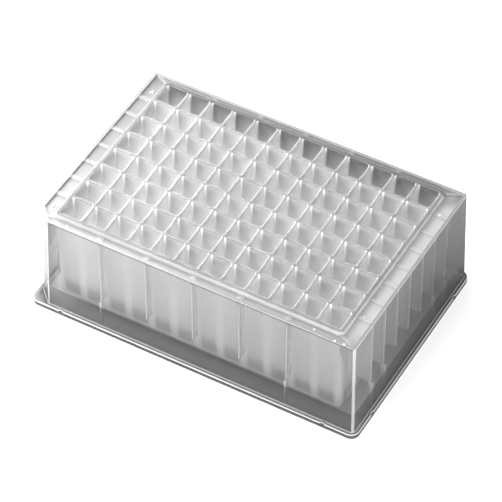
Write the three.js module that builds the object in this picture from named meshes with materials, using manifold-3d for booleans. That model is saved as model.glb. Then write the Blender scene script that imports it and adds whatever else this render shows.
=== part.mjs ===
// Deep well plate, a one-piece moulding: 96 square wells under a raised grid of ridges, a deck with
// shallow panels around them, a drafted skirt on a stepped foot flange, and fins between the two.
// Millimetres, +Z up. The origin is the centre of the footprint, on the surface the plate stands on.
// +X runs from column 1 to column 12, and +Y from row H to row A.
import * as THREE from 'three';
import { mergeVertices } from 'three/addons/utils/BufferGeometryUtils.js';
import Module from 'manifold-3d';

const wasm = await Module();
wasm.setup();

// Overall sizes. The footprint follows from the wells and from what stands round them.
const plateHeight = 44;
const footprintRadius = 3.18;

// Wells
const pitch = 9;
const columns = 12;
const rows = 8;
const ridgeWidth = 0.8;
const wellCornerBevel = 0.75;
const wellDraft = 0.3;
const wellTaperHeight = 5.9;
const wellTipWidth = 2.2;
const wellTipWall = 1.1;

// Block that the wells are sunk in
const blockWall = 1.5;
const blockCornerRadius = 1.6;
const blockDraft = 0.3;
const blockClearance = 6;
const tipClearance = 0.5;
const cellWall = 1.2;
const cellRoot = 0.3;

// Deck and rim around the block
const rimDrop = 1.2;
const rimWidth = 1.2;
const panelDepth = 1;
const deckThickness = 1.2;
const endGap = 5.33;
const sideGap = 2.29;

// Skirt and foot flange
const shelfLength = 1.35;
const shelfWidth = 1.25;
const skirtDraft = 0.9;
const skirtWall = 1.2;
const skirtRadius = 1.2;
const cornerCut = 5.6;
const flangeHeight = 2.4;
const flangeWall = 1.2;
const notchWidth = 1.3;
const notchDepth = 0.5;
const notchInset = 12.5;

// Fins between the block and the skirt. Each carries a bridge that overhangs it by a land on each side.
const finThickness = 1;
const longBridgeLand = 0.6;
const shortBridgeLand = 0.3;
const cornerBridgeLand = 0.1;
const finFoot = 13.4;
const footRibDepth = 1.4;
const cornerFinDrop = 13;
const cornerFinRootDrop = 6;

// Finishing values
const cutOver = 1;
const outlineArcSteps = 2;
const plasticColour = 0xdfe1e2;
const plasticRoughness = 0.35;
const weldDistance = 1e-4;

// Worked out from the sizes above
const mouthHalf = (pitch - ridgeWidth) / 2;
const shoulderHalf = mouthHalf - wellDraft;
const wellFloorHeight = blockClearance + tipClearance + wellTipWall;
const shoulderHeight = wellFloorHeight + wellTaperHeight;
const blockHalfX = (columns * pitch - ridgeWidth) / 2 + blockWall;
const blockHalfY = (rows * pitch - ridgeWidth) / 2 + blockWall;
const rimHeight = plateHeight - rimDrop;
const panelHeight = rimHeight - panelDepth;
const deckUnderside = panelHeight - deckThickness;
const skirtTopX = blockHalfX + endGap + skirtWall;
const skirtTopY = blockHalfY + sideGap + skirtWall;
const skirtFootX = skirtTopX + skirtDraft;
const skirtFootY = skirtTopY + skirtDraft;
const halfLength = skirtFootX + shelfLength;
const halfWidth = skirtFootY + shelfWidth;
const longBridgeWidth = finThickness + 2 * longBridgeLand;
const shortBridgeWidth = finThickness + 2 * shortBridgeLand;
const cornerBridgeWidth = finThickness + 2 * cornerBridgeLand;
const finTop = deckUnderside + deckThickness / 2;
const finEnd = skirtWall / 2;

// A rectangle with round corners about the origin. The front left corner can be cut off instead.
function outline(halfX, halfY, radius, cut = 0) {
  const shape = new THREE.Shape();
  if (cut > 0) {
    shape.moveTo(-halfX, -halfY + cut);
    shape.lineTo(-halfX + cut, -halfY);
  } else {
    shape.absarc(-halfX + radius, -halfY + radius, radius, Math.PI, 1.5 * Math.PI, false);
  }
  shape.absarc(halfX - radius, -halfY + radius, radius, 1.5 * Math.PI, 2 * Math.PI, false);
  shape.absarc(halfX - radius, halfY - radius, radius, 0, 0.5 * Math.PI, false);
  shape.absarc(-halfX + radius, halfY - radius, radius, 0.5 * Math.PI, Math.PI, false);
  shape.closePath();
  return shape;
}

// A square about the origin, with its corners bevelled.
function bevelledSquare(half, bevel) {
  const shape = new THREE.Shape();
  shape.moveTo(half - bevel, -half);
  shape.lineTo(half, -half + bevel);
  shape.lineTo(half, half - bevel);
  shape.lineTo(half - bevel, half);
  shape.lineTo(-half + bevel, half);
  shape.lineTo(-half, half - bevel);
  shape.lineTo(-half, -half + bevel);
  shape.lineTo(-half + bevel, -half);
  shape.closePath();
  return shape;
}

// A square about the origin with sharp corners.
function sharpSquare(half) {
  const shape = new THREE.Shape();
  shape.moveTo(half, -half);
  shape.lineTo(half, half);
  shape.lineTo(-half, half);
  shape.lineTo(-half, -half);
  shape.closePath();
  return shape;
}

// An upright prism whose section is scaled in X and Y at each of its levels, lowest first.
function stackedPrism(shape, levels) {
  const steps = levels.length - 1;
  const geometry = new THREE.ExtrudeGeometry(shape, {
    depth: steps,
    steps,
    bevelEnabled: false,
    curveSegments: outlineArcSteps,
  });
  const position = geometry.attributes.position;
  for (let i = 0; i < position.count; i += 1) {
    const level = levels[Math.round(position.getZ(i))];
    position.setXYZ(i, position.getX(i) * level.scaleX, position.getY(i) * level.scaleY, level.z);
  }
  return geometry;
}

// A box from its lowest and highest corners.
function boxBetween(low, high) {
  const size = new THREE.Vector3().subVectors(high, low);
  const centre = new THREE.Vector3().addVectors(low, high).multiplyScalar(0.5);
  const geometry = new THREE.BoxGeometry(size.x, size.y, size.z);
  return geometry.translate(centre.x, centre.y, centre.z);
}

// A closed geometry as a solid that can be joined and cut.
function toSolid(geometry) {
  const bare = geometry.clone();
  bare.deleteAttribute('normal');
  bare.deleteAttribute('uv');
  const welded = mergeVertices(bare, weldDistance);
  return new wasm.Manifold(new wasm.Mesh({
    numProp: 3,
    vertProperties: Float32Array.from(welded.attributes.position.array),
    triVerts: Uint32Array.from(welded.index.array),
  }));
}

function toGeometry(solid) {
  const mesh = solid.getMesh();
  const geometry = new THREE.BufferGeometry();
  geometry.setAttribute('position', new THREE.BufferAttribute(mesh.vertProperties, mesh.numProp));
  geometry.setIndex(new THREE.BufferAttribute(mesh.triVerts, 1));
  geometry.computeVertexNormals();
  return geometry;
}

function joinAll(solids) {
  return solids.reduce((joined, solid) => joined.add(solid));
}

// One copy of a solid at the centre of every well.
function atEveryWell(solid) {
  const copies = [];
  for (let column = 0; column < columns; column += 1) {
    for (let row = 0; row < rows; row += 1) {
      const x = (column - (columns - 1) / 2) * pitch;
      const y = ((rows - 1) / 2 - row) * pitch;
      copies.push(solid.translate([x, y, 0]));
    }
  }
  return joinAll(copies);
}

// The space inside one well: drafted walls down to a shoulder, then a four-sided taper to a flat tip.
function wellSpace() {
  const shape = bevelledSquare(mouthHalf, wellCornerBevel);
  const levels = [
    { z: wellFloorHeight, half: wellTipWidth / 2 },
    { z: shoulderHeight, half: shoulderHalf },
    { z: plateHeight, half: mouthHalf },
    { z: plateHeight + cutOver, half: mouthHalf },
  ];
  const scaled = levels.map(({ z, half }) => ({ z, scaleX: half / mouthHalf, scaleY: half / mouthHalf }));
  return toSolid(stackedPrism(shape, scaled));
}

// The hollow under one well: the square cell between the walls, around the outside of the well's tip.
function cellSpace() {
  const cellHalf = (pitch - cellWall) / 2;
  const slope = wellTaperHeight / (shoulderHalf - wellTipWidth / 2);
  const wallAcross = wellTipWall * Math.hypot(1, slope) / slope;
  const tipFoot = wellFloorHeight - wellTipWall;
  const halfAt = (z) => wellTipWidth / 2 + wallAcross + (z - wellFloorHeight) / slope;
  const cellTop = wellFloorHeight + (cellHalf - cellRoot - wallAcross - wellTipWidth / 2) * slope;
  const cell = boxBetween(
    new THREE.Vector3(-cellHalf, -cellHalf, blockClearance - cutOver),
    new THREE.Vector3(cellHalf, cellHalf, cellTop),
  );
  const tipHalf = halfAt(tipFoot);
  const overHalf = halfAt(cellTop + cutOver);
  const tip = stackedPrism(sharpSquare(tipHalf), [
    { z: tipFoot, scaleX: 1, scaleY: 1 },
    { z: cellTop + cutOver, scaleX: overHalf / tipHalf, scaleY: overHalf / tipHalf },
  ]);
  return toSolid(cell).subtract(toSolid(tip));
}

// The block of wells, a little narrower at its foot, before the wells are cut.
function wellBlock() {
  const shape = outline(blockHalfX, blockHalfY, blockCornerRadius);
  return toSolid(stackedPrism(shape, [
    { z: blockClearance, scaleX: 1 - blockDraft / blockHalfX, scaleY: 1 - blockDraft / blockHalfY },
    { z: plateHeight, scaleX: 1, scaleY: 1 },
  ]));
}

// The skirt's outline with its faces moved in by an inset. Its cut corner's face moves in as far too.
function skirtOutline(halfX, halfY, inset) {
  return outline(halfX, halfY, skirtRadius, cornerCut - inset * (2 - Math.SQRT2));
}

// The drafted body of the skirt, with its faces moved in by an inset and a ring of corners at each height.
function skirtPrism(inset, heights) {
  const footX = skirtFootX - inset;
  const footY = skirtFootY - inset;
  const narrow = (z) => skirtDraft * (z - flangeHeight) / (rimHeight - flangeHeight);
  const levels = heights.map((z) => ({
    z,
    scaleX: (footX - narrow(z)) / footX,
    scaleY: (footY - narrow(z)) / footY,
  }));
  return toSolid(stackedPrism(skirtOutline(footX, footY, inset), levels));
}

// The step at the foot, the full footprint, with a rounded outline.
function footFlange() {
  const shape = outline(halfLength, halfWidth, footprintRadius);
  const full = toSolid(stackedPrism(shape, [
    { z: 0, scaleX: 1, scaleY: 1 },
    { z: flangeHeight, scaleX: 1, scaleY: 1 },
  ]));
  return full.subtract(flangeNotches());
}

// Two small notches in the outer edge of each side of the flange.
function flangeNotches() {
  const notches = [];
  for (const side of [-1, 1]) {
    for (const end of [-1, 1]) {
      notches.push(notchAt(end * (halfLength - notchInset), side * halfWidth, notchWidth, 2 * notchDepth));
      notches.push(notchAt(side * halfLength, end * (halfWidth - notchInset), 2 * notchDepth, notchWidth));
    }
  }
  return joinAll(notches);
}

function notchAt(x, y, sizeX, sizeY) {
  const low = new THREE.Vector3(x - sizeX / 2, y - sizeY / 2, flangeHeight / 2);
  const high = new THREE.Vector3(x + sizeX / 2, y + sizeY / 2, flangeHeight + cutOver);
  return toSolid(boxBetween(low, high));
}

// The hollow behind the flange, under its shelf.
function flangeHollow() {
  const shape = outline(halfLength - flangeWall, halfWidth - flangeWall, footprintRadius - flangeWall);
  return toSolid(stackedPrism(shape, [
    { z: -cutOver, scaleX: 1, scaleY: 1 },
    { z: flangeHeight - flangeWall, scaleX: 1, scaleY: 1 },
  ]));
}

// X of the long sides' bridges and fins, at every second well wall.
function longSideStations() {
  const stations = [];
  for (let column = 2; column < columns; column += 2) {
    stations.push((column - columns / 2) * pitch);
  }
  return stations;
}

// Y of the short sides' bridges and fins, at every well wall.
function shortSideStations() {
  const stations = [];
  for (let row = 1; row < rows; row += 1) {
    stations.push((row - rows / 2) * pitch);
  }
  return stations;
}

// A slab standing across the deck at x, as wide as given, over the plate's full width.
function longSlab(x, width, low, high) {
  return toSolid(boxBetween(
    new THREE.Vector3(x - width / 2, -halfWidth, low),
    new THREE.Vector3(x + width / 2, halfWidth, high),
  ));
}

function shortSlab(y, width, low, high) {
  return toSolid(boxBetween(
    new THREE.Vector3(-halfLength, y - width / 2, low),
    new THREE.Vector3(halfLength, y + width / 2, high),
  ));
}

// A slab across one corner, from the block's corner out to the skirt's.
function cornerSlab(signX, signY, width, low, high) {
  const reachX = skirtTopX - blockHalfX;
  const reachY = skirtTopY - blockHalfY;
  const length = 2 * Math.hypot(reachX, reachY);
  const slab = new THREE.BoxGeometry(length, width, high - low);
  slab.rotateZ(Math.atan2(signY * reachY, signX * reachX));
  return toSolid(slab.translate(signX * blockHalfX + signX * reachX / 2,
    signY * blockHalfY + signY * reachY / 2, (low + high) / 2));
}

const cornerSigns = [[-1, -1], [1, -1], [1, 1], [-1, 1]];

// The shallow panels: what lies between the rim and the block, less the bridges that cross it.
function panels() {
  const outer = toSolid(stackedPrism(skirtOutline(skirtTopX - rimWidth, skirtTopY - rimWidth, rimWidth), [
    { z: panelHeight, scaleX: 1, scaleY: 1 },
    { z: rimHeight + cutOver, scaleX: 1, scaleY: 1 },
  ]));
  const low = panelHeight - cutOver;
  const high = rimHeight + 2 * cutOver;
  const bridges = [
    ...longSideStations().map((x) => longSlab(x, longBridgeWidth, low, high)),
    ...shortSideStations().map((y) => shortSlab(y, shortBridgeWidth, low, high)),
    ...cornerSigns.map(([signX, signY]) => cornerSlab(signX, signY, cornerBridgeWidth, low, high)),
  ];
  return outer.subtract(joinAll(bridges));
}

// The upright fins under the bridges, and the short ribs that carry some of them down to the flange.
// Their ends are buried in the skirt's wall and in the deck.
function fins() {
  const lengthwise = longSideStations();
  const crosswise = shortSideStations();
  const ribbedX = [lengthwise[0], lengthwise.at(-1)];
  const ribbedY = [...crosswise.slice(0, 2), ...crosswise.slice(-2)];
  const upright = [
    ...lengthwise.map((x) => longSlab(x, finThickness, finFoot, finTop)),
    ...crosswise.map((y) => shortSlab(y, finThickness, finFoot, finTop)),
  ];
  const ribs = [
    ...ribbedX.map((x) => longSlab(x, finThickness, flangeHeight, finFoot + cutOver)),
    ...ribbedY.map((y) => shortSlab(y, finThickness, flangeHeight, finFoot + cutOver)),
  ];
  const inside = skirtPrism(skirtWall + footRibDepth, [0, rimHeight]);
  const envelope = skirtPrism(finEnd, [0, rimHeight]);
  return joinAll(upright).add(joinAll(ribs).subtract(inside)).intersect(envelope);
}

// The fin under each corner bridge. Its lower edge falls from the block to a point in the skirt's corner.
function cornerFins() {
  const reachX = skirtTopX - blockHalfX;
  const reachY = skirtTopY - blockHalfY;
  const length = Math.hypot(reachX, reachY);
  const profile = new THREE.Shape();
  profile.moveTo(-length / 2, finTop);
  profile.lineTo(-length / 2, deckUnderside - cornerFinRootDrop);
  profile.lineTo(length, deckUnderside - cornerFinDrop);
  profile.lineTo(length, finTop);
  profile.closePath();
  const fin = new THREE.ExtrudeGeometry(profile, { depth: finThickness, bevelEnabled: false });
  fin.translate(0, 0, -finThickness / 2).rotateX(Math.PI / 2);
  const placed = cornerSigns.map(([signX, signY]) => {
    const turned = fin.clone().rotateZ(Math.atan2(signY * reachY, signX * reachX));
    return toSolid(turned.translate(signX * blockHalfX, signY * blockHalfY, 0));
  });
  return joinAll(placed).intersect(skirtPrism(finEnd, [0, rimHeight]));
}

function plateSolid() {
  const shelfUnderside = flangeHeight - flangeWall;
  const body = skirtPrism(0, [flangeHeight / 2, flangeHeight, rimHeight]);
  const inside = skirtPrism(skirtWall, [-cutOver, shelfUnderside, deckUnderside]);
  const hollowShell = body.subtract(panels()).add(footFlange()).subtract(inside).subtract(flangeHollow());
  const framed = joinAll([hollowShell, fins(), cornerFins(), wellBlock()]);
  return framed.subtract(atEveryWell(wellSpace())).subtract(atEveryWell(cellSpace()));
}

function buildPlate() {
  const material = new THREE.MeshStandardMaterial({
    color: plasticColour,
    roughness: plasticRoughness,
    metalness: 0,
  });
  const plate = new THREE.Mesh(toGeometry(plateSolid()), material);
  plate.name = 'plate';
  return plate;
}

const wellPlate = new THREE.Group();
wellPlate.add(buildPlate());

export default wellPlate;
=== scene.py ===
import math

import bmesh
import bpy
from mathutils import Matrix, Vector


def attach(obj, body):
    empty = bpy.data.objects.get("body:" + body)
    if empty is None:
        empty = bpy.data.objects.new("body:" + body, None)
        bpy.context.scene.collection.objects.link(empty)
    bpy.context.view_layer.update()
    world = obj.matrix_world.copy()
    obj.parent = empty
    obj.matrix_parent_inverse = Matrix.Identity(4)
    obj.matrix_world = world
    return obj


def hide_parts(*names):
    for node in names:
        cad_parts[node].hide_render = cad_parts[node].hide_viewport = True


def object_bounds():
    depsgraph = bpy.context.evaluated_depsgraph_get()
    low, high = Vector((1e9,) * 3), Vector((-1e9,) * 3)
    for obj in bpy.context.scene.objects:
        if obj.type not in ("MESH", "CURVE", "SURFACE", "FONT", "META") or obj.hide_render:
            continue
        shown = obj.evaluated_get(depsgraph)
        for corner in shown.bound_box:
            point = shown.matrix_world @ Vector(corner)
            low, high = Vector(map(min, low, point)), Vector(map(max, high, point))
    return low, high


# Deep well plate, moulded in one piece: 96 square wells inside a clear skirt.
# Metres, +Z up, +X from column 1 to column 12, +Y from row H to row A.
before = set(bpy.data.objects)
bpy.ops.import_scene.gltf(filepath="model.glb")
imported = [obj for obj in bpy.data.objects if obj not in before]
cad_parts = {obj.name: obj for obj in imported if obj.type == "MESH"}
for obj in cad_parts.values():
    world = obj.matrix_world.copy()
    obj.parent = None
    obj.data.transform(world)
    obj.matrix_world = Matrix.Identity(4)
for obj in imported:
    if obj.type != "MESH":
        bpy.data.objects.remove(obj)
cadLow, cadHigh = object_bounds()
mm = 0.001
print("frame loaded")

# What every piece is fitted to
plate = {
    "length": cadHigh.x - cadLow.x,
    "width": cadHigh.y - cadLow.y,
    "height": cadHigh.z - cadLow.z,
    "rimDrop": 1.2 * mm,  # from the ridges down to the rim
    "panelDepth": 1 * mm,  # from the rim down to the deck
    "deckThickness": 1.2 * mm,
    "bury": 0.3 * mm,  # how far the deck and the fins run into the block's wall
    "weld": 0.004 * mm,  # points nearer than this become one
}
topZ = plate["height"]
rimZ = topZ - plate["rimDrop"]
panelZ = rimZ - plate["panelDepth"]
deckUnderZ = panelZ - plate["deckThickness"]


def newObject(name, data):
    thing = bpy.data.objects.new(name, data)
    bpy.context.scene.collection.objects.link(thing)
    return thing


def meshFromBmesh(name, work):
    mesh = bpy.data.meshes.new(name)
    work.to_mesh(mesh)
    work.free()
    return mesh


def addRing(work, points):
    return [work.verts.new(point) for point in points]


def bridgeRings(work, first, second):
    count = len(first)
    for i in range(count):
        j = (i + 1) % count
        work.faces.new((first[i], first[j], second[j], second[i]))


def quarterTurn(side):
    return Matrix.Rotation(math.radians(90 * side), 2)


# joins meshes, merges doubles and turns every face outwards
def closeUp(mesh, *others):
    work = bmesh.new()
    for source in (mesh, *others):
        work.from_mesh(source)
    bmesh.ops.remove_doubles(work, verts=work.verts, dist=plate["weld"])
    bmesh.ops.recalc_face_normals(work, faces=work.faces)
    work.to_mesh(mesh)
    work.free()
    return mesh


def evaluatedMesh(thing):
    graph = bpy.context.evaluated_depsgraph_get()
    return bpy.data.meshes.new_from_object(thing.evaluated_get(graph), depsgraph=graph)


def dress(name, mesh, material, sharpAngle=35):
    mesh.materials.clear()
    mesh.materials.append(material)
    for face in mesh.polygons:
        face.use_smooth = True
    mesh.set_sharp_from_angle(angle=math.radians(sharpAngle))
    piece = newObject(name, mesh)
    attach(piece, "root")
    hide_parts("plate")
    print(name, "made with", len(mesh.polygons), "faces")


class Wire:  # an output socket that can be added, multiplied and so on
    def __init__(self, bench, socket):
        self.bench = bench
        self.socket = socket

    def maths(self, operation, *others):
        return self.bench.maths(operation, self, *others)

    def __add__(self, other):
        return self.maths("ADD", other)

    def __radd__(self, other):
        return self.bench.maths("ADD", other, self)

    def __sub__(self, other):
        return self.maths("SUBTRACT", other)

    def __rsub__(self, other):
        return self.bench.maths("SUBTRACT", other, self)

    def __mul__(self, other):
        return self.maths("MULTIPLY", other)

    def __rmul__(self, other):
        return self.bench.maths("MULTIPLY", other, self)

    def __truediv__(self, other):
        return self.maths("DIVIDE", other)

    def __rtruediv__(self, other):
        return self.bench.maths("DIVIDE", other, self)

    def clamped(self, low=0.0, high=1.0):
        return self.maths("MAXIMUM", low).maths("MINIMUM", high)


class Bench:  # a node tree that is being built
    def __init__(self, tree):
        self.tree = tree

    def node(self, kind, settings, inputs, output=0):
        made = self.tree.nodes.new(kind)
        for key, value in settings.items():
            setattr(made, key, value)
        for key, value in inputs.items():
            socket = made.inputs[key]
            wires = value if isinstance(value, list) else [value]
            for wire in wires:
                if isinstance(wire, Wire):
                    self.tree.links.new(wire.socket, socket)
                else:
                    socket.default_value = wire
        return Wire(self, made.outputs[output]) if len(made.outputs) else made

    def maths(self, operation, *values):
        return self.node("ShaderNodeMath", {"operation": operation}, dict(enumerate(values)))

    def mixColour(self, factor, first, second):
        colours = {"Factor": factor, 6: first, 7: second}  # 6 and 7 are the colour sockets
        return self.node("ShaderNodeMix", {"data_type": "RGBA"}, colours, 2)

    def vector(self, x, y):
        return self.node("ShaderNodeCombineXYZ", {}, {0: x, 1: y})

    def mixShader(self, factor, first, second):
        return self.node("ShaderNodeMixShader", {}, {0: factor, 1: first, 2: second})


# a Geometry Nodes tree with the named inputs, and the wires that come from them
def newGeometryTree(name, sockets):
    tree = bpy.data.node_groups.new(name, "GeometryNodeTree")
    tree.interface.new_socket("Geometry", in_out="INPUT", socket_type="NodeSocketGeometry")
    for label, kind in sockets.items():
        tree.interface.new_socket(label, in_out="INPUT", socket_type="NodeSocket" + kind)
    tree.interface.new_socket("Geometry", in_out="OUTPUT", socket_type="NodeSocketGeometry")
    bench = Bench(tree)
    entry = bench.node("NodeGroupInput", {}, {}).socket.node
    return bench, {socket.name: Wire(bench, socket) for socket in entry.outputs if socket.name}


# the end of every tree: its copies become one welded mesh with a material
def finishGeometryTree(bench, geometry, material):
    real = bench.node("GeometryNodeRealizeInstances", {}, {"Geometry": geometry})
    weld = {"Geometry": real, "Distance": plate["weld"]}
    welded = bench.node("GeometryNodeMergeByDistance", {}, weld)
    dressed = bench.node("GeometryNodeSetMaterial", {}, {"Geometry": welded, "Material": material})
    bench.node("NodeGroupOutput", {}, {"Geometry": dressed})
    return bench.tree


# runs a tree on a seed mesh and gives the result as a plain mesh
def grow(name, seedMesh, tree, values):
    seed = newObject(name + "Seed", seedMesh)
    modifier = seed.modifiers.new("grow", "NODES")
    modifier.node_group = tree
    for item in tree.interface.items_tree:
        if item.item_type == "SOCKET" and item.in_out == "INPUT" and item.name in values:
            modifier[item.identifier] = values[item.name]
    mesh = evaluatedMesh(seed)
    mesh.name = name
    seed.modifiers.remove(modifier)
    bpy.data.objects.remove(seed)
    return mesh


def grey(value):
    return (value, value, value, 1)


def blankMaterial(name):
    material = bpy.data.materials.new(name)
    material.use_nodes = True
    material.node_tree.nodes.clear()
    return material, Bench(material.node_tree)


def attribute(bench, name):
    return bench.node("ShaderNodeAttribute", {"attribute_name": name}, {}, "Fac")


def noise(bench, place, scale, detail):
    return bench.node("ShaderNodeTexNoise", {}, {"Vector": place, "Scale": scale, "Detail": detail})


# fine flow lines that run up and down the walls
def flowLines(bench, place, look):
    stretch = {"Vector": place, "Scale": (1, 1, look["streakStretch"])}
    stretched = bench.node("ShaderNodeMapping", {}, stretch)
    return noise(bench, stretched, look["streakScale"], look["streakDetail"])


def roughness(streak, look):
    return (streak * look["roughSpan"] + look["rough"]).clamped(look["leastRough"])


# Plastic thick enough to scatter light. Milk, an attribute of each mesh, runs from 0 to 1.
milkyLook = {
    "thin": grey(0.09),  # tone where the milk is 0
    "thick": grey(0.88),  # and where it is 1
    "depth": 3 * mm,  # how far light spreads inside
    "glow": 1.0,  # share of the light that goes inside
    "cloud": 0.1,
    "cloudScale": 60.0,
    "cloudDetail": 2.0,
    "streak": 0.08,
    "streakScale": 420.0,
    "streakDetail": 2.0,
    "streakStretch": 0.2,  # below 1 it draws the streaks out upwards
    "rough": 0.42,
    "roughSpan": 0.15,
    "leastRough": 0.05,
    "bump": 0.1,
    "bumpHeight": 0.08 * mm,
    "specular": 0.2,
    "ior": 1.49,
    "backShade": 0.3,  # how much less milky, and so darker, the wall behind row A is painted: painted shade for light that leaks out through the block's back
    "backInset": 1 * mm,  # where that starts, in from the edge of the grid of wells
    "backFade": 0.4 * mm,
}


def milkyPlastic(name, look, backFrom):
    material, bench = blankMaterial(name)
    place = bench.node("ShaderNodeTexCoord", {}, {}, "Object")
    cloud = noise(bench, place, look["cloudScale"], look["cloudDetail"])
    streak = flowLines(bench, place, look)
    haze = (cloud - 0.5) * look["cloud"] + (streak - 0.5) * look["streak"]
    away = bench.node("ShaderNodeSeparateXYZ", {}, {"Vector": place}, "Y")
    # painted shade: the wall behind row A is painted less milky, so darker
    backWallShade = ((away - backFrom) / look["backFade"]).clamped() * look["backShade"]
    milkiness = (attribute(bench, "milk") + haze - backWallShade).clamped()
    bump = bench.node("ShaderNodeBump", {}, {
        "Strength": look["bump"], "Distance": look["bumpHeight"], "Height": streak,
    })
    body = bench.node("ShaderNodeBsdfPrincipled", {}, {
        "Base Color": bench.mixColour(milkiness, look["thin"], look["thick"]),
        "Roughness": roughness(streak, look),
        "Normal": bump,
        "IOR": look["ior"],
        "Specular IOR Level": look["specular"],
        "Subsurface Weight": look["glow"],
        "Subsurface Radius": (1, 1, 1),
        "Subsurface Scale": look["depth"],
    })
    bench.node("ShaderNodeOutputMaterial", {}, {"Surface": body})
    return material


# Plastic thin enough to see through
clearLook = {
    "thin": grey(0.3),  # tone of the haze where the milk is 0
    "thick": grey(0.6),  # and where it is 1
    "milkSpan": 0.8,  # how much of the view the whitest milk hides
    "clear": grey(0.97),  # light let through where the shadow attribute is 0
    "dark": grey(0.17),  # and where it is 1: the dark tint is painted shade
    "streak": 0.04,
    "streakScale": 160.0,
    "streakDetail": 1.0,
    "streakStretch": 0.25,
    "rough": 0.14,
    "roughSpan": 0.1,
    "leastRough": 0.05,
    "specular": 0.5,
    "ior": 1.49,
    "gloss": 0.3,
    "glossFront": 0.04,  # reflection seen straight on
    "glossRise": 5.0,  # how late it rises towards the rim of a curve
}
# the same for the fins and ribs, which are milkier and less glossy
finLook = dict(clearLook, milkSpan=1.0, thin=grey(0.4), thick=grey(0.95), gloss=0.2, rough=0.3)


def clearPlastic(name, look):
    material, bench = blankMaterial(name)
    place = bench.node("ShaderNodeTexCoord", {}, {}, "Object")
    milkiness = attribute(bench, "milk")
    streak = flowLines(bench, place, look)
    haze = (streak - 0.5) * look["streak"]
    rough = roughness(streak, look)
    body = bench.node("ShaderNodeBsdfPrincipled", {}, {
        "Base Color": bench.mixColour((milkiness + haze).clamped(), look["thin"], look["thick"]),
        "Roughness": rough,
        "IOR": look["ior"],
        "Specular IOR Level": look["specular"],
    })
    clearWall = bench.node("ShaderNodeBsdfTransparent", {}, {"Color": look["clear"]})
    shadedWall = bench.node("ShaderNodeBsdfTransparent", {}, {"Color": look["dark"]})
    # painted shade: where the shadow attribute is high the wall is tinted dark
    wall = bench.mixShader(attribute(bench, "shadow"), clearWall, shadedWall)
    hazy = bench.mixShader((milkiness * look["milkSpan"] + haze).clamped(), wall, body)
    gloss = bench.node("ShaderNodeBsdfGlossy", {}, {"Color": grey(1), "Roughness": rough})
    facing = bench.node("ShaderNodeLayerWeight", {}, {"Blend": 0.5}, "Facing")
    front = look["glossFront"]
    rise = facing.maths("POWER", look["glossRise"])
    glossShare = (rise * (1 - front) + front) * look["gloss"]
    done = bench.mixShader(glossShare, hazy, gloss)
    bench.node("ShaderNodeOutputMaterial", {}, {"Surface": done})
    return material


# Block of wells
wells = {
    "columns": 12,
    "rows": 8,
    "pitch": 9 * mm,
    "ridge": 0.8 * mm,  # thickness of a wall at the mouth
    "cornerRadius": 0.7 * mm,
    "lip": 0.08 * mm,  # rounding of the mouth's edge
    "draft": 0.3 * mm,
    "shoulder": 13.5 * mm,  # height where the taper starts
    "shoulderAbove": 0.8 * mm,  # the bend into the taper, over and under that height
    "shoulderBelow": 0.6 * mm,
    "shoulderIn": 0.35 * mm,
    "floor": 7.6 * mm,
    "waist": (0.2, 0.45, 0.6),  # a bend low in the taper: share of height, width and radius
    "tip": 1.1 * mm,  # half of the flat at the bottom
    "tipRound": 0.6,  # corner radius of that flat, as a share of its half
    "tipWall": 1.1 * mm,
    "cellWall": 1.2 * mm,  # between the pockets under the wells
    "cellRoot": 0.3 * mm,  # how far a pocket steps in at its top
    "cellRadius": 0.3 * mm,
    "arcSteps": 3,
    "ridgeMilk": 0.07,
    "wallMilkAndLight": [(0.8, 0.35), (3, 0.51), (6, 0.72), (9.5, 1.0)],  # depth in mm, milkiness: milkier deeper, partly because the walls thicken with the draft, partly painted light that lifts the shade deep in the wells
    "deepMilk": 1.0,
    "cornerMilk": 0.87,
    "cellMilk": 0.8,
    "footMilk": 0.9,
    "blockWall": 1.5 * mm,
    "blockRadius": 1.6 * mm,
    "blockFoot": 6 * mm,
    "blockLip": 0.3 * mm,  # rounding of the block's top edge
    "blockArcSteps": 6,
    "blockFootMilk": 0.95,
    "nearWall": 0.7 * mm,  # the block's side is milkier this near to a wall between wells
    "offWall": 2.2 * mm,  # and not from here on
}
mouthHalf = (wells["pitch"] - wells["ridge"]) / 2
shoulderHalf = mouthHalf - wells["draft"]
gridHalfX = wells["columns"] * wells["pitch"] / 2
gridHalfY = wells["rows"] * wells["pitch"] / 2
blockHalfX = gridHalfX - wells["ridge"] / 2 + wells["blockWall"]
blockHalfY = gridHalfY - wells["ridge"] / 2 + wells["blockWall"]
lipShare = 1 - math.sqrt(0.5)  # how far a round edge's middle lies in, against its radius


def roundedSquare(half, radius, z, steps):
    points = []
    for corner in range(4):
        centre = quarterTurn(corner) @ Vector((half - radius, half - radius))
        for step in range(steps + 1):
            angle = math.radians(90 * corner) + math.radians(90) * step / steps
            points.append(Vector((centre.x + radius * math.cos(angle),
                                  centre.y + radius * math.sin(angle), z)))
    return points


# faces between a square's four corners and a rounded square inside it
def bridgeToCorners(work, corners, ring, steps):
    for corner in range(4):
        start = corner * (steps + 1)
        for step in range(steps):
            work.faces.new((corners[corner], ring[start + step + 1], ring[start + step]))
        after = (start + steps + 1) % len(ring)
        work.faces.new((corners[corner], corners[(corner + 1) % 4], ring[after],
                        ring[start + steps]))


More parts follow.
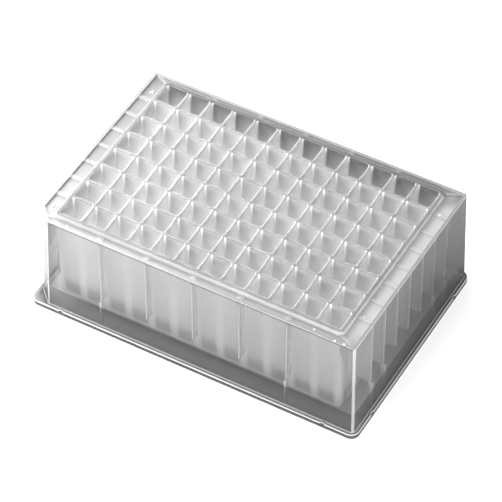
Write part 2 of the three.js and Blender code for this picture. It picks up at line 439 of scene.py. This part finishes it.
# one well with its share of the walls: down from the ridge, and back under its tip
def wellTile():
    work = bmesh.new()
    milkiness = work.verts.layers.float.new("milk")
    steps = wells["arcSteps"]
    half = wells["pitch"] / 2
    radius = wells["cornerRadius"]
    lip = wells["lip"]

    def ring(size, cornerRadius, z, milk, cornerMilk=None):
        made = addRing(work, roundedSquare(size, cornerRadius, z, steps))
        for i, vert in enumerate(made):
            middle = 0 < i % (steps + 1) < steps
            vert[milkiness] = cornerMilk if middle and cornerMilk else milk
        return made

    def square(z, milk):
        signs = ((1, 1), (-1, 1), (-1, -1), (1, -1))
        made = addRing(work, [Vector((signX * half, signY * half, z)) for signX, signY in signs])
        for vert in made:
            vert[milkiness] = milk
        return made

    def stack(outer, rings):
        bridgeToCorners(work, outer, rings[0], steps)
        for first, second in zip(rings, rings[1:]):
            bridgeRings(work, first, second)
        work.faces.new(rings[-1])

    floorZ, shoulderZ, tip = wells["floor"], wells["shoulder"], wells["tip"]
    ridge, deep, corner = wells["ridgeMilk"], wells["deepMilk"], wells["cornerMilk"]
    bend = lip * lipShare
    taper = shoulderZ - floorZ
    wallHeight = topZ - shoulderZ
    waistUp, waistWide, waistRound = wells["waist"]
    stack(square(topZ, ridge), [
        ring(mouthHalf + lip, radius + lip, topZ, ridge),
        ring(mouthHalf + bend, radius + bend, topZ - bend, ridge),
        ring(mouthHalf, radius, topZ - lip, ridge, corner),
        # painted light: the walls are painted milkier, so lighter, the deeper they go, partly
        # standing for their thickening
        *[ring(mouthHalf - wells["draft"] * depth * mm / wallHeight, radius, topZ - depth * mm,
               milk, corner) for depth, milk in wells["wallMilkAndLight"]],
        ring(shoulderHalf, radius, shoulderZ + wells["shoulderAbove"], deep, corner),
        ring(shoulderHalf - wells["shoulderIn"], radius, shoulderZ - wells["shoulderBelow"], deep),
        ring(shoulderHalf * waistWide, radius * waistRound, floorZ + taper * waistUp, deep),
        ring(tip, tip * wells["tipRound"], floorZ, deep),
    ])

    # the pocket under the well follows the taper at the tip's wall thickness
    slope = taper / (shoulderHalf - tip)
    across = wells["tipWall"] * math.hypot(1, slope) / slope
    cellHalf = half - wells["cellWall"] / 2
    pocketHalf = cellHalf - wells["cellRoot"]
    cellTop = floorZ + (pocketHalf - across - tip) * slope
    tipHalf = tip + across - wells["tipWall"] / slope
    cellRadius, cellMilk = wells["cellRadius"], wells["cellMilk"]
    under = [
        ring(cellHalf, cellRadius, wells["blockFoot"], wells["footMilk"]),
        ring(cellHalf, cellRadius, cellTop, cellMilk),
        ring(pocketHalf, cellRadius, cellTop, cellMilk),
        ring(tipHalf, cellRadius, floorZ - wells["tipWall"], cellMilk),
    ]
    stack(square(wells["blockFoot"], wells["footMilk"]), under)
    return meshFromBmesh("wellTile", work)


# copies the seed to every point of a grid
def wellGridTree():
    bench, given = newGeometryTree("wellGrid", {
        "Columns": "Int", "Rows": "Int", "Pitch": "Float", "Material": "Material",
    })
    points = bench.node("GeometryNodeMeshGrid", {}, {
        "Size X": (given["Columns"] - 1) * given["Pitch"],
        "Size Y": (given["Rows"] - 1) * given["Pitch"],
        "Vertices X": given["Columns"],
        "Vertices Y": given["Rows"],
    })
    copies = bench.node("GeometryNodeInstanceOnPoints", {}, {
        "Points": points, "Instance": given["Geometry"],
    })
    return finishGeometryTree(bench, copies, given["Material"])


# Points round the block: beside each wall between wells, and along the corner arcs.
# Each is x, y, how near it is to a wall, from 0 to 1, and the grid corner that it belongs to.
def blockLoop(inset):
    halfX, halfY = blockHalfX - inset, blockHalfY - inset
    radius = wells["blockRadius"] - inset
    off, by = wells["offWall"], wells["nearWall"]
    beside = [(-off, 0.0), (-by, 1.0), (by, 1.0), (off, 0.0)]
    arcSteps = wells["blockArcSteps"]
    points = []
    for side in range(4):
        alongHalf, outHalf = ((halfX, halfY), (halfY, halfX))[side % 2]
        cells = (wells["columns"], wells["rows"])[side % 2]

        def addPoint(along, out, nearness, cell):
            x, y = quarterTurn(side) @ Vector((along, out))
            points.append((x, y, nearness, (side, cell)))

        for cell in range(cells + 1):
            shown = beside[2:] if cell == 0 else beside[:2] if cell == cells else beside
            for offset, nearness in shown:
                addPoint((cell - cells / 2) * wells["pitch"] + offset, -outHalf, nearness, cell)
        for step in range(arcSteps + 1):
            angle = math.radians(-90 + 90 * step / arcSteps)
            addPoint(alongHalf - radius + radius * math.cos(angle),
                     -outHalf + radius + radius * math.sin(angle), 1.0, cells)
    return points


def gridCorner(side, cell):
    halfAlong, halfOut = ((gridHalfX, gridHalfY), (gridHalfY, gridHalfX))[side % 2]
    return quarterTurn(side) @ Vector((cell * wells["pitch"] - halfAlong, -halfOut))


# the outer wall of the block, with its top and foot reaching in to the outermost tiles
def blockSurround():
    work = bmesh.new()
    milkiness = work.verts.layers.float.new("milk")
    lip, foot, shoulderZ = wells["blockLip"], wells["blockFoot"], wells["shoulder"]
    bend = lip * lipShare
    levels = [
        # height, inset, milkiness between walls and beside them
        (topZ, lip, 0.04, 0.04),
        (topZ - bend, bend, 0.1, 0.1),
        (topZ - lip, 0, 0.26, 0.26),
        (panelZ, 0, 0.42, 0.45),
        (deckUnderZ, 0.02 * mm, 0.86, 0.9),
        (30 * mm, 0.09 * mm, 0.8, 0.88),
        (17 * mm, 0.2 * mm, 0.75, 0.9),
        (shoulderZ + 0.6 * mm, 0.22 * mm, 0.72, 0.94),
        (shoulderZ - 2.4 * mm, 0.24 * mm, 0.48, 0.95),
        (8.2 * mm, 0.27 * mm, 0.52, 0.96),
        (foot + 0.6 * mm, 0.29 * mm, 0.85, 0.96),
        (foot + 0.15 * mm, 0.34 * mm, 0.8, 0.9),
        (foot, 0.5 * mm, 0.8, 0.9),
    ]
    rings = []
    for z, inset, between, beside in levels:
        loop = blockLoop(inset)
        ring = addRing(work, [(x, y, z) for x, y, nearness, corner in loop])
        for vert, (x, y, nearness, corner) in zip(ring, loop):
            vert[milkiness] = between + (beside - between) * nearness
        rings.append(ring)
    for upper, lower in zip(rings, rings[1:]):
        bridgeRings(work, upper, lower)

    corners = [gridCorner(*corner) for x, y, nearness, corner in loop]
    spots = [(round(place.x, 6), round(place.y, 6)) for place in corners]
    for ring, z, milk in ((rings[0], topZ, wells["ridgeMilk"]),
                          (rings[-1], foot, wells["blockFootMilk"])):
        made = {}
        for spot, place in zip(spots, corners):
            if spot not in made:
                made[spot] = work.verts.new((place.x, place.y, z))
                made[spot][milkiness] = milk
        inner = [made[spot] for spot in spots]
        for i in range(len(inner)):
            j = (i + 1) % len(inner)
            outline = [inner[i], ring[i], ring[j]]
            if inner[j] is not inner[i]:
                outline.append(inner[j])
            work.faces.new(outline)
    return meshFromBmesh("blockSurround", work)


milky = milkyPlastic("milkyBlock", milkyLook, gridHalfY - milkyLook["backInset"])
tiles = grow("wellBlock", wellTile(), wellGridTree(), {
    "Columns": wells["columns"], "Rows": wells["rows"], "Pitch": wells["pitch"], "Material": milky,
})
dress("wellBlock", closeUp(tiles, blockSurround()), milky)


# Skirt, with the rim, the deck and the foot flange
skirt = {
    "shelfX": 1.35 * mm,  # the flange stands out this far past the skirt
    "shelfY": 1.25 * mm,
    "draft": 0.9 * mm,
    "wall": 1.2 * mm,
    "radius": 1.2 * mm,
    "leastRadius": 0.15 * mm,  # at the corners of its inner rings
    "cornerCut": 5.6 * mm,
    "cornerPoints": 9,
    "rimWidth": 1.2 * mm,
    "footRadius": 3.18 * mm,
    "flange": 2.4 * mm,
    "flangeWall": 1.2 * mm,
    "notchWidth": 1.3 * mm,
    "notchDepth": 0.5 * mm,
    "notchInset": 12.5 * mm,  # from the nearest end of that side
    "notchEdge": 0.04 * mm,
    "backStripShade": 0.45,  # painted shade: how milky the deck's strips at the back, front and left are painted, against the right one
    "frontStripShade": 0.7,
    "leftStripShade": 0.62,
    "stripInset": 1 * mm,  # the front and back strips start this far inside the block's faces
    "edgeMilk": 0.2,  # outer edge of the rim at the back and left, which is also tinted fully dark: a painted shade line
    "edgeReach": 2 * mm,
    "darkTop": 11.2 * mm,  # below this height the skirt is tinted darker: painted shade for the band under the block
    "bendDark": 1.0,  # how dark the bend beside the cut corner is painted: painted shade
    # painted shade: how dark the skirt's sides are tinted, and its left side and cut corner
    "sideDark": 0.58,
    "leftDark": 0.85,
    "leftReach": 3 * mm,
    "cutReach": 3.6 * mm,  # how far past the cut corner the skirt is painted as dark as its left side: painted shade
    "frontDrift": 0.045,  # painted shade: how much darker the front is tinted from its middle to its right end
    "frontReach": 1 * mm,
    "farDark": 1.0,  # what the sides are tinted darker to at the back right corner: painted shade and painted dark reflection
}
footX = plate["length"] / 2 - skirt["shelfX"]
footY = plate["width"] / 2 - skirt["shelfY"]


def skirtNarrow(z):
    return skirt["draft"] * (z - skirt["flange"]) / (rimZ - skirt["flange"])


# The points of an outline are x, y and its bend: 0 on the flat, 1 on a bend that gets a painted
# highlight line, and -1 on one that gets painted shade.
def cornerArc(centreX, centreY, radius, startDegrees):
    steps = skirt["cornerPoints"] - 1
    arc = []
    for step in range(steps + 1):
        angle = math.radians(startDegrees) + math.radians(90) * step / steps
        bend = 1.0 if 1 < step < steps - 1 else 0.0
        arc.append((centreX + radius * math.cos(angle), centreY + radius * math.sin(angle), bend))
    return arc


# the cut front left corner, with its two bends rounded; the front bend gets a painted highlight
# line and the left bend painted shade
def cutCorner(halfX, halfY, cut, radius):
    steps = (skirt["cornerPoints"] - 1) // 2
    tangent = radius * math.tan(math.radians(22.5))
    leftBend = (-halfX + radius, -halfY + cut + tangent, 180, steps, -1.0)
    frontBend = (-halfX + cut + tangent, -halfY + radius, 225, steps + 1, 1.0)
    points = []
    for centreX, centreY, start, count, shine in (leftBend, frontBend):
        for step in range(count):
            angle = math.radians(start + 45 * step / (count - 1))
            bend = shine if 0 < step < count - 1 else 0.0
            points.append((centreX + radius * math.cos(angle),
                           centreY + radius * math.sin(angle), bend))
    return points


# once round from the front left corner, with four points at each notch
def skirtLoop(halfX, halfY, radius, cut=0.0, notch=0.0):
    wide, edge = skirt["notchWidth"] / 2, skirt["notchEdge"]
    profile = ((-wide - edge, 0), (-wide, notch), (wide, notch), (wide + edge, 0))
    stations = (plate["length"] / 2 - skirt["notchInset"], plate["width"] / 2 - skirt["notchInset"])
    inX, inY = halfX - radius, halfY - radius
    loop = cutCorner(halfX, halfY, cut, radius) if cut else cornerArc(-inX, -inY, radius, 180)
    for side in range(4):
        out = (halfY, halfX)[side % 2]
        for station in (-stations[side % 2], stations[side % 2]):
            for offset, depth in profile:
                x, y = quarterTurn(side) @ Vector((station + offset, depth - out))
                loop.append((x, y, 0.0))
        if side < 3:
            signX, signY = ((1, -1), (1, 1), (-1, 1))[side]
            loop += cornerArc(signX * inX, signY * inY, radius, -90 + 90 * side)
    return loop


# the outline of one ring: round the block, of the skirt and its rim, or of the foot flange
def skirtOutline(kind, inset, z):
    if kind == "block":
        return skirtLoop(blockHalfX - plate["bury"], blockHalfY - plate["bury"],
                         wells["blockRadius"])
    if kind in ("flange", "notched"):
        return skirtLoop(plate["length"] / 2 - inset, plate["width"] / 2 - inset,
                         skirt["footRadius"] - inset,
                         notch=skirt["notchDepth"] if kind == "notched" else 0.0)
    narrow = skirtNarrow(z) + inset
    return skirtLoop(footX - narrow, footY - narrow,
                     max(skirt["radius"] - inset, skirt["leastRadius"]),
                     cut=skirt["cornerCut"] - inset * (2 - math.sqrt(2)))


# painted shade: the deck's strips are painted unequally milky, so the back, front and left ones
# look darker than the right one
def stripShade(x, y):
    if y > blockHalfY - skirt["stripInset"]:
        return skirt["backStripShade"]
    if y < skirt["stripInset"] - blockHalfY:
        return skirt["frontStripShade"]
    return skirt["leftStripShade"] if x < 0 else 1.0


def skirtMilk(x, y, bend, milk, bendMilk, onDeck):
    # bends get a painted highlight line, except at the back right corner
    backRight = x > 0 and y > 0
    if bend > 0 and bendMilk and not backRight:
        return bendMilk
    return milk * stripShade(x, y) if onDeck else milk


# painted shade: how dark the wall is tinted at a point whose ring has the darkness dark
def skirtShadow(x, y, bend, dark):
    if bend < 0:
        return skirt["bendDark"]
    if dark == 0:
        return 0.0
    byCut = x + y < skirt["cutReach"] + skirt["cornerCut"] - footX - footY
    shade = dark
    if byCut or x < skirt["leftReach"] - footX:
        shade = max(dark, skirt["leftDark"])
    elif dark == skirt["sideDark"] and y < skirt["frontReach"] - footY:
        shade += skirt["frontDrift"] * x / footX
    if dark < skirt["farDark"]:
        toFar = max(0.0, (x / footX + y / footY) / 2) ** 2
        shade += (skirt["farDark"] - shade) * toFar
    return shade


# one closed wall, from the deck's top over the rim, down and out, and back to its underside
def skirtShell():
    work = bmesh.new()
    milkiness = work.verts.layers.float.new("milk")
    shadow = work.verts.layers.float.new("shadow")
    rim, wall, side = skirt["rimWidth"], skirt["wall"], skirt["sideDark"]
    top, flangeWall = skirt["flange"], skirt["flangeWall"]
    shelf = top - flangeWall
    rows = [
        # outline, inset, height, milkiness, darkness, milkiness of the bends; the darkness is
        # painted shade, the bends' milkiness a painted highlight line, and the milkier rows on
        # rounded edges are partly the plastic's milk and partly painted highlight lines
        ("block", 0, panelZ, 0.8, 1.0, 0),
        ("skirt", rim + 0.15 * mm, panelZ, 0.78, 1.0, 0),
        ("skirt", rim, panelZ + 0.15 * mm, 0.5, 1.0, 0),
        ("skirt", rim, rimZ - 0.15 * mm, 0.5, 1.0, 0),
        ("skirt", rim - 0.12 * mm, rimZ, 0.62, 1.0, 0),
        ("skirt", rim - 0.4 * mm, rimZ, 0.46, 1.0, 0),
        ("skirt", 0.3 * mm, rimZ, 0.46, 1.0, 0),
        ("rimEdge", 0.06 * mm, rimZ - 0.06 * mm, 0.6, 0, 0),
        ("rimEdge", 0, rimZ - 0.2 * mm, 0.45, 0, 0),
        ("skirt", 0, rimZ - 0.42 * mm, 0.12, side, 0.6),
        ("skirt", 0, 24 * mm, 0.07, side, 0.5),
        ("skirt", 0, skirt["darkTop"] + 0.3 * mm, 0.05, side, 0.5),
        ("skirt", 0, skirt["darkTop"], 0.03, 0.85, 0.5),
        ("skirt", 0, top + 0.5 * mm, 0.03, 0.95, 0.5),
        ("skirt", -0.15 * mm, top + 0.15 * mm, 0.4, 0.5, 0),
        ("skirt", -0.3 * mm, top, 0.4, 0.5, 0),
        ("skirt", -0.42 * mm, top, 0, 1.0, 0),
        ("skirt", -0.62 * mm, top, 0, 1.0, 0),
        ("notched", 0.62 * mm, top, 0.25, 0.6, 0),
        ("notched", 0.5 * mm, top, 0.25, 0.6, 0),
        ("notched", 0.42 * mm, top, 0, 1.0, 0),
        ("notched", 0.3 * mm, top, 0.05, 0.9, 0),
        ("notched", 0.09 * mm, top - 0.09 * mm, 0.8, 0, 0),
        ("notched", 0, top - 0.3 * mm, 0.7, 0, 0),
        ("notched", 0, top - 0.5 * mm, 0.05, 0.9, 0),
        ("notched", 0, shelf, 0.05, 0.9, 0),
        ("flange", 0, shelf - 0.02 * mm, 0.05, 0.9, 0),
        ("flange", 0, 0.45 * mm, 0.1, 0.8, 0),
        ("flange", 0, 0.25 * mm, 0.9, 0, 0),
        ("flange", 0.25 * mm, 0, 0.9, 0, 0),
        ("flange", flangeWall - 0.15 * mm, 0, 0.6, 0, 0),
        ("flange", flangeWall, 0.15 * mm, 0.2, 0, 0),
        ("flange", flangeWall, shelf - 0.15 * mm, 0.1, 0, 0),
        ("skirt", wall, shelf, 0.1, 0, 0),
        ("skirt", wall, shelf + 0.3 * mm, 0.05, 0, 0),
        ("skirt", wall, deckUnderZ - 0.3 * mm, 0.05, 0, 0),
        ("skirt", wall + 0.3 * mm, deckUnderZ, 0.4, 1.0, 0),
        ("block", 0, deckUnderZ, 0.5, 1.0, 0),
    ]
    rings = []
    for kind, inset, z, milk, dark, bendMilk in rows:
        loop = skirtOutline(kind, inset, z)
        onDeck = kind == "block" or kind == "skirt" and z == panelZ
        ring = addRing(work, [(x, y, z) for x, y, bend in loop])
        for vert, (x, y, bend) in zip(ring, loop):
            # the rim's outer edge at the back and left is painted fully dark: a painted shade line
            atEdge = x < skirt["edgeReach"] - footX or y > footY - skirt["edgeReach"]
            if kind == "rimEdge" and atEdge:
                vert[milkiness] = skirt["edgeMilk"]
                vert[shadow] = 1.0
            else:
                vert[milkiness] = skirtMilk(x, y, bend, milk, bendMilk, onDeck)
                vert[shadow] = skirtShadow(x, y, bend, dark)
        rings.append(ring)
    for first, second in zip(rings, rings[1:] + rings[:1]):
        bridgeRings(work, first, second)
    return meshFromBmesh("skirtShell", work)


dress("skirt", closeUp(skirtShell()), clearPlastic("clearSkirt", clearLook), 40)


# Fins, their bridges across the deck, and the ribs at the foot
fins = {
    "thickness": 1 * mm,
    "foot": 13.4 * mm,  # height of the fins' lower edge
    "edge": 0.38 * mm,  # bevel
    "intoSkirt": 0.5 * mm,  # how far short of the skirt's outer face they end
    "intoWall": 0.5,  # the same at the corners, as a share of the wall
    "longMilk": 0.24,  # fins on the long sides
    # painted light: the fins on the short sides are painted milkier than those on the long sides,
    # lifting them where they stand in shade
    "shortMilkAndLight": 0.55,
    "highlightGain": 3.5,  # how much milkier the flat of their outer edge is painted: a painted highlight line where a fin meets the skirt
    "flatDepth": 0.02 * mm,
    "longBridge": 2.2 * mm,
    "shortBridge": 1.6 * mm,
    "cornerBridge": 1.2 * mm,
    "bridgeEdge": 0.12 * mm,
    "bridgeMilk": 0.2,
    "bridgeDrop": 0.06 * mm,  # below the rim
    "intoRim": 0.1 * mm,
    "ribDepth": 1.4 * mm,
    "ribFoot": 0.2 * mm,  # how far the ribs run into the flange
    "ribTaper": 0.45,  # share of a rib's depth that is left at its foot
    "ribMilk": 0.7,
    # the ribs' outer flat gets the same painted highlight line
    "ribHighlightGain": 1.4,
    "cornerMilk": 0.4,
    "cornerDrop": 13 * mm,  # how far down the corner fins reach at the skirt
    "cornerRootDrop": 6 * mm,  # and at the block
    "cornerStart": 0.9 * mm,  # how far the corner fins run into the block
    "cornerReach": 0.95,  # share of the way to the round corners that they fill
}


# A box with bevelled edges. lowEnd narrows its foot, and gain paints its outer flat milkier as a
# painted highlight line.
def softBox(low, high, milk, edge, lowEnd=1.0, gain=1.0):
    work = bmesh.new()
    milkiness = work.verts.layers.float.new("milk")
    bmesh.ops.create_cube(work, size=1)
    for vert in work.verts:
        atFoot, inside = vert.co.z < 0, vert.co.y < 0
        vert.co = [(high if vert.co[axis] > 0 else low)[axis] for axis in range(3)]
        if atFoot and inside:
            vert.co.y = high[1] - (high[1] - low[1]) * lowEnd
    bmesh.ops.bevel(work, geom=work.edges[:], offset=edge, segments=2, profile=0.5,
                    affect="EDGES")
    for vert in work.verts:
        outer = vert.co.y > high[1] - fins["flatDepth"]
        vert[milkiness] = min(1.0, milk * gain) if outer else milk
    return meshFromBmesh("softBox", work)


# copies the seed along a line through the middle, and the same again turned to the other side
def rowTree():
    bench, given = newGeometryTree("bothSides", {
        "Count": "Int", "Step X": "Float", "Step Y": "Float", "Material": "Material",
    })
    stepX, stepY = given["Step X"], given["Step Y"]
    span = 0.5 - given["Count"] * 0.5
    line = bench.node("GeometryNodeMeshLine", {"mode": "OFFSET"}, {
        "Count": given["Count"],
        "Start Location": bench.vector(span * stepX, span * stepY),
        "Offset": bench.vector(stepX, stepY),
    })
    oneSide = bench.node("GeometryNodeInstanceOnPoints", {}, {
        "Points": line, "Instance": given["Geometry"],
    })
    otherSide = bench.node("GeometryNodeTransform", {}, {
        "Geometry": oneSide, "Rotation": (0, 0, math.pi),
    })
    both = bench.node("GeometryNodeJoinGeometry", {}, {"Geometry": [oneSide, otherSide]})
    return finishGeometryTree(bench, both, given["Material"])


def turned(mesh, degrees, move=(0, 0, 0)):
    mesh.transform(Matrix.Translation(move) @ Matrix.Rotation(math.radians(degrees), 4, "Z"))
    return mesh


def sideFins(tree, material):
    bury = plate["bury"]
    pitch = wells["pitch"]
    half = fins["thickness"] / 2
    sides = [
        # turn, block half, skirt half, bridge, how many, spacing, ribs, step's axis, milkiness
        (0, blockHalfY, footY, fins["longBridge"], 5, 2, [(2, 8)], "Step X", fins["longMilk"]),
        (-90, blockHalfX, footX, fins["shortBridge"], 7, 1, [(2, 6), (2, 4)], "Step Y",
         fins["shortMilkAndLight"]),
    ]
    meshes = []
    for turn, blockHalf, foot, bridge, count, spacing, ribs, axis, milk in sides:
        inner = blockHalf - bury
        bridgeEnd = foot - skirtNarrow(rimZ) - skirt["rimWidth"] + fins["intoRim"]
        finEnd = foot - skirtNarrow(deckUnderZ) - fins["intoSkirt"]
        ribIn = foot - skirt["wall"] - fins["ribDepth"]
        boxes = [
            ("bridges", count, spacing, softBox(
                (-bridge / 2, inner, panelZ - bury),
                (bridge / 2, bridgeEnd, rimZ - fins["bridgeDrop"]),
                fins["bridgeMilk"], fins["bridgeEdge"])),
            ("fins", count, spacing, softBox(
                (-half, inner, fins["foot"]), (half, finEnd, deckUnderZ + bury),
                milk, fins["edge"], gain=fins["highlightGain"])),
        ]
        for number, apart in ribs:
            boxes.append(("ribs", number, apart, softBox(
                (-half, ribIn, skirt["flange"] - fins["ribFoot"]),
                (half, foot - fins["intoSkirt"], fins["foot"] + bury),
                fins["ribMilk"], fins["edge"], fins["ribTaper"], fins["ribHighlightGain"])))
        for name, number, apart, box in boxes:
            meshes.append(grow(name, turned(box, turn), tree, {
                "Count": number, axis: apart * pitch, "Material": material,
            }))
    return meshes


# the bridge and the fin across one corner, whose lower edge falls away from the block
def cornerFin(signX, signY):
    reachX = footX - skirtNarrow(rimZ) - blockHalfX
    reachY = footY - skirtNarrow(rimZ) - blockHalfY
    length = math.hypot(reachX, reachY)
    alongX, alongY = reachX / length, reachY / length
    inWall = skirt["wall"] * fins["intoWall"]
    if signX < 0 and signY < 0:
        toCut = reachX + reachY - skirt["cornerCut"] - inWall * math.sqrt(2)
        end = toCut / (alongX + alongY)
    else:
        end = min((reachX - inWall) / alongX, (reachY - inWall) / alongY) * fins["cornerReach"]
    start = -fins["cornerStart"]
    halfBridge, halfFin = fins["cornerBridge"] / 2, fins["thickness"] / 2
    bridge = softBox((start, -halfBridge, panelZ - plate["bury"]),
                     (end - inWall, halfBridge, rimZ - fins["bridgeDrop"]),
                     fins["bridgeMilk"], fins["bridgeEdge"])
    fin = softBox((start, -halfFin, deckUnderZ - fins["cornerDrop"]),
                  (end, halfFin, deckUnderZ + plate["bury"]), fins["cornerMilk"], fins["edge"])
    for vert in fin.vertices:
        if vert.co.z < deckUnderZ - fins["cornerRootDrop"] and vert.co.x < end / 2:
            vert.co.z += fins["cornerDrop"] - fins["cornerRootDrop"]
    angle = math.degrees(math.atan2(signY * reachY, signX * reachX))
    corner = (signX * blockHalfX, signY * blockHalfY, 0)
    return [turned(bridge, angle, corner), turned(fin, angle, corner)]


ribbed = clearPlastic("ribbing", finLook)
spines = sideFins(rowTree(), ribbed)
for signX, signY in ((-1, -1), (1, -1), (1, 1), (-1, 1)):
    spines += cornerFin(signX, signY)
dress("fins", closeUp(*spines), ribbed)


# Small raised marks on the deck and the rim
marks = {
    "height": 0.3 * mm,
    "rowLetter": 2.6 * mm,
    "columnNumber": 1.7 * mm,
    "letterMilk": 0.3,
    "nubRadius": 0.42 * mm,
    "nubFlat": 0.55,
    "nubMilk": 0.6,
    "endStrip": 2.6 * mm,  # how far out from the block the marks stand at its ends
    "trench": 1.2 * mm,  # and along its long sides
    "rim": 3 * mm,
    "frontShift": 1 * mm,  # the H stands this far in front of its row
}


def addMilk(mesh, milk):
    layer = mesh.attributes.new("milk", "FLOAT", "POINT")
    for item in layer.data:
        item.value = milk
    return mesh


def letterMesh(text, size, x, y):
    curve = bpy.data.curves.new("letter", type="FONT")
    curve.body = text
    curve.size = size
    curve.extrude = marks["height"] / 2
    curve.align_x = "CENTER"
    curve.align_y = "CENTER"
    carrier = newObject("letter", curve)
    mesh = evaluatedMesh(carrier)
    bpy.data.objects.remove(carrier)
    bpy.data.curves.remove(curve)
    mesh.transform(Matrix.Translation((x, y, panelZ + marks["height"] / 4)))
    return addMilk(mesh, marks["letterMilk"])


def nubMesh(x, y, z):
    work = bmesh.new()
    bmesh.ops.create_uvsphere(work, u_segments=12, v_segments=6, radius=marks["nubRadius"])
    bmesh.ops.scale(work, verts=work.verts, vec=(1, 1, marks["nubFlat"]))
    bmesh.ops.translate(work, verts=work.verts, vec=(x, y, z))
    return addMilk(meshFromBmesh("nub", work), marks["nubMilk"])


stripX = blockHalfX + marks["endStrip"]
trenchY = blockHalfY + marks["trench"]
rimY = blockHalfY + marks["rim"]
rowA = (wells["rows"] - 1) / 2 * wells["pitch"]
column12 = (wells["columns"] - 1) / 2 * wells["pitch"]
raised = [
    letterMesh("A", marks["rowLetter"], -stripX, rowA),
    letterMesh("H", marks["rowLetter"], -stripX, -rowA - marks["frontShift"]),
    letterMesh("1", marks["columnNumber"], -column12, trenchY),
    letterMesh("12", marks["columnNumber"], column12, trenchY),
    nubMesh(-36.8 * mm, trenchY, panelZ),
    nubMesh(43.6 * mm, trenchY, panelZ),
    nubMesh(53.9 * mm, -rimY, rimZ),
    nubMesh(57.3 * mm, -rimY, rimZ),
    nubMesh(45.3 * mm, -trenchY, panelZ),
    nubMesh(-49.3 * mm, -trenchY, panelZ),
    nubMesh(stripX, 27 * mm, rimZ),
    nubMesh(-stripX, -25 * mm, panelZ),
    nubMesh(stripX - 1 * mm, -25.5 * mm, panelZ),
]
dress("marks", closeUp(*raised), milky)


# Floor and light
studio = {
    "floorHalf": 3,
    "floorLow": grey(0.92),
    "floorHigh": grey(0.95),
    "floorCloud": 9.0,
    "floorDetail": 2.0,
    "floorRough": 0.9,
    "floorSpecular": 0.1,
    "worldStrength": 0.85,
    "lightTarget": (0, 0, 0.02),
    "lights": [
        # name, place, width and height, power
        ("keyLight", (-0.17, -0.01, 0.17), (0.26, 0.26), 2.05),
        ("overheadLight", (-0.15, -0.25, 1.0), (1.0, 1.0), 6),
        ("rightLight", (0.4, -0.38, 0.12), (0.2, 0.15), 3.4),
        ("frontLight", (-0.4, -0.28, 0.12), (0.25, 0.18), 1.3),
    ],
}
# Camera: degrees, metres, and millimetres for the lens
view = {
    "azimuth": 29.5,
    "elevation": 46.7,
    "distance": 1.03,
    "lens": 215,
    "sensor": 36,
    "farClip": 20,
    "target": (0, 0, 0.02),
    "layersSeenThrough": 32,
}


def floorMaterial():
    material, bench = blankMaterial("paleFloor")
    place = bench.node("ShaderNodeTexCoord", {}, {}, "Object")
    cloud = noise(bench, place, studio["floorCloud"], studio["floorDetail"])
    body = bench.node("ShaderNodeBsdfPrincipled", {}, {
        "Base Color": bench.mixColour(cloud, studio["floorLow"], studio["floorHigh"]),
        "Roughness": studio["floorRough"],
        "Specular IOR Level": studio["floorSpecular"],
    })
    bench.node("ShaderNodeOutputMaterial", {}, {"Surface": body})
    return material


def areaLight(name, place, size, power):
    lamp = bpy.data.lights.new(name, "AREA")
    lamp.shape = "RECTANGLE"
    lamp.size, lamp.size_y = size
    lamp.energy = power
    carrier = newObject(name, lamp)
    carrier.location = place
    carrier.visible_camera = False
    aim = Vector(studio["lightTarget"]) - Vector(place)
    carrier.rotation_euler = aim.to_track_quat("-Z", "Y").to_euler()


half = studio["floorHalf"]
floorMesh = bpy.data.meshes.new("floor")
floorMesh.from_pydata([(-half, -half, 0), (half, -half, 0), (half, half, 0), (-half, half, 0)],
                      [], [(0, 1, 2, 3)])
floorMesh.materials.append(floorMaterial())
floor = newObject("floor", floorMesh)

for light in studio["lights"]:
    areaLight(*light)
world = bpy.data.worlds.new("studio")
world.use_nodes = True
background = world.node_tree.nodes["Background"]
background.inputs["Color"].default_value = grey(1)
background.inputs["Strength"].default_value = studio["worldStrength"]
bpy.context.scene.world = world
print("floor and", len(studio["lights"]), "lights set")

azimuth = math.radians(view["azimuth"])
elevation = math.radians(view["elevation"])
away = Vector((math.sin(azimuth) * math.cos(elevation), -math.cos(azimuth) * math.cos(elevation),
               math.sin(elevation)))
lens = bpy.data.cameras.new("camera")
lens.lens = view["lens"]
lens.sensor_width = view["sensor"]
lens.clip_end = view["farClip"]
camera = newObject("camera", lens)
camera.location = Vector(view["target"]) + away * view["distance"]
camera.rotation_euler = (-away).to_track_quat("-Z", "Y").to_euler()
bpy.context.scene.camera = camera
bpy.context.scene.view_settings.view_transform = "Standard"
bpy.context.scene.cycles.transparent_max_bounces = view["layersSeenThrough"]
print("camera set")
